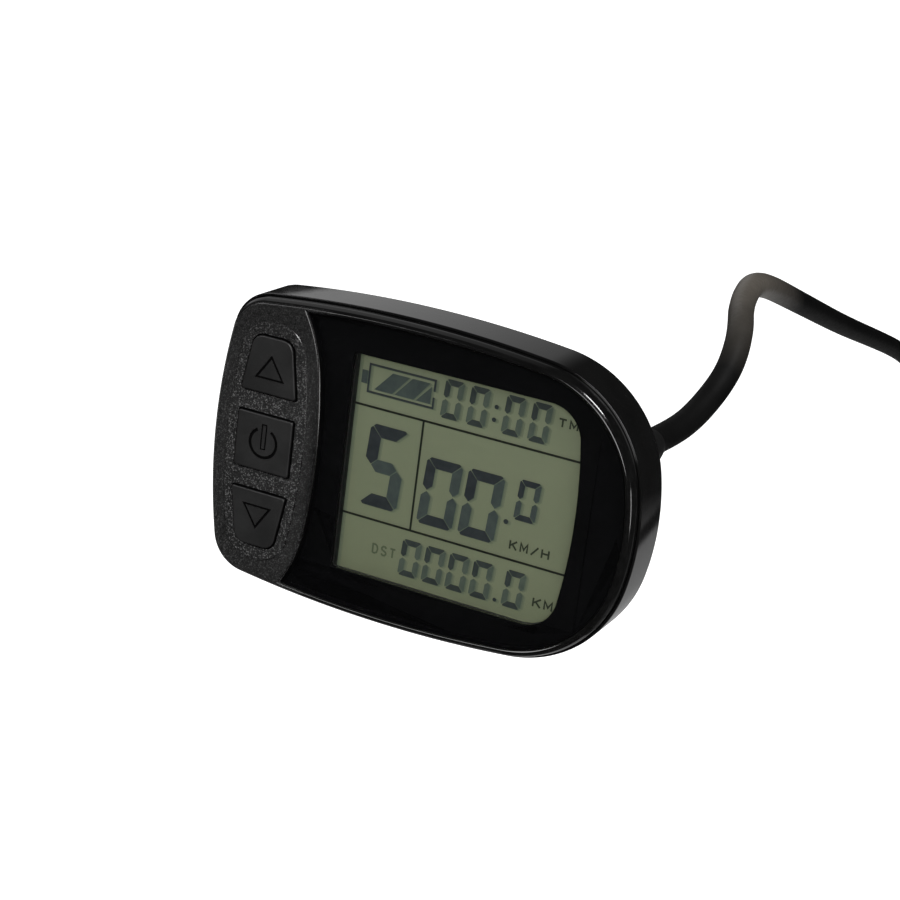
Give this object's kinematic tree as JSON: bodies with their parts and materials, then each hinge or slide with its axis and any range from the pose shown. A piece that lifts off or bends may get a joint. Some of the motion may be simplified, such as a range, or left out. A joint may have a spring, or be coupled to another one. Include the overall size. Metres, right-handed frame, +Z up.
{
  "type": "e-bike display",
  "caption": "Handlebar display for an electric bicycle: rounded housing with a display window, sprung buttons, a split bar clamp behind it and a lead that ends in a round plug.",
  "frame": {"origin": "on the axis of the bar clamp, midway along the clamp", "axes": "+X along the handlebar, to the right as the rider sees it; +Y forwards; +Z up. The display faces the rider, tilted back 15 degrees."},
  "size_m": [0.096, 0.3115, 0.2807],
  "materials": {
    "bezel_plastic": "satin gloss bezel, fine texture on the button panel",
    "case_plastic": "gloss black",
    "seal_rubber": "matt",
    "window_plastic": "clear with a hard gloss coat",
    "mask_print": "black print",
    "display_face": "grey display face",
    "display_glass": "clear",
    "backlight_plastic": "white diffuser",
    "tray_plastic": "matt white",
    "strip_rubber": "banded contact rubber",
    "board_laminate": "green solder mask",
    "chip_plastic": "matt black",
    "header_plastic": "natural nylon",
    "wire_insulation": "coloured insulation",
    "dome_steel": "bright",
    "keypad_rubber": "matt silicone",
    "button_plastic": "fine texture",
    "stem_plastic": "matt grey",
    "zinc_screw": "zinc plated",
    "black_screw": "black oxide",
    "clamp_plastic": "moulded, fine grain",
    "sleeve_rubber": "matt",
    "clamp_steel": "stainless",
    "gland_rubber": "satin",
    "cable_jacket": "satin",
    "plug_rubber": "satin overmould",
    "insert_plastic": "matt",
    "pin_brass": "gold flashed"
  },
  "bodies": {
    "display": {"front_case": "bezel_plastic", "rear_case": "case_plastic", "case_seal": "seal_rubber", "window_lens": "window_plastic", "lens_mask": "mask_print", "lcd_gasket": "seal_rubber", "lcd_glass": "display_face", "lcd_rear_glass": "display_glass", "backlight": "backlight_plastic", "lcd_tray": "tray_plastic", "contact_strips": "strip_rubber", "circuit_board": "board_laminate", "controller_chip": "chip_plastic", "power_parts": "chip_plastic", "wire_header": "header_plastic", "wire_plug": "header_plastic", "inner_wires": "wire_insulation", "key_switches": "chip_plastic", "switch_domes": "dome_steel", "keypad_web": "keypad_rubber", "board_screws": "zinc_screw", "case_screws": "black_screw", "clamp_saddle": "clamp_plastic", "clamp_cap": "clamp_plastic", "bar_sleeve": "sleeve_rubber", "clamp_screws": "clamp_steel", "clamp_nuts": "clamp_steel", "saddle_screws": "black_screw", "cable_gland": "gland_rubber", "cable_tail": "cable_jacket", "cable": "cable_jacket", "plug_body": "plug_rubber", "plug_insert": "insert_plastic", "plug_pins_set": "pin_brass", "plug_seal": "seal_rubber"},
    "up_key": {"button_up": "button_plastic", "stem_up_key": "stem_plastic"},
    "power_key": {"button_power": "button_plastic", "stem_power_key": "stem_plastic"},
    "down_key": {"button_down": "button_plastic", "stem_down_key": "stem_plastic"}
  },
  "joints": [
    {"name": "up_press", "type": "slide", "parent": "display", "child": "up_key", "axis": [0, 0.9659, -0.2588], "range_m": [0, 0.0007], "stiffness_N_per_m": 1500},
    {"name": "power_press", "type": "slide", "parent": "display", "child": "power_key", "axis": [0, 0.9659, -0.2588], "range_m": [0, 0.0007], "stiffness_N_per_m": 1500},
    {"name": "down_press", "type": "slide", "parent": "display", "child": "down_key", "axis": [0, 0.9659, -0.2588], "range_m": [0, 0.0007], "stiffness_N_per_m": 1500}
  ]
}
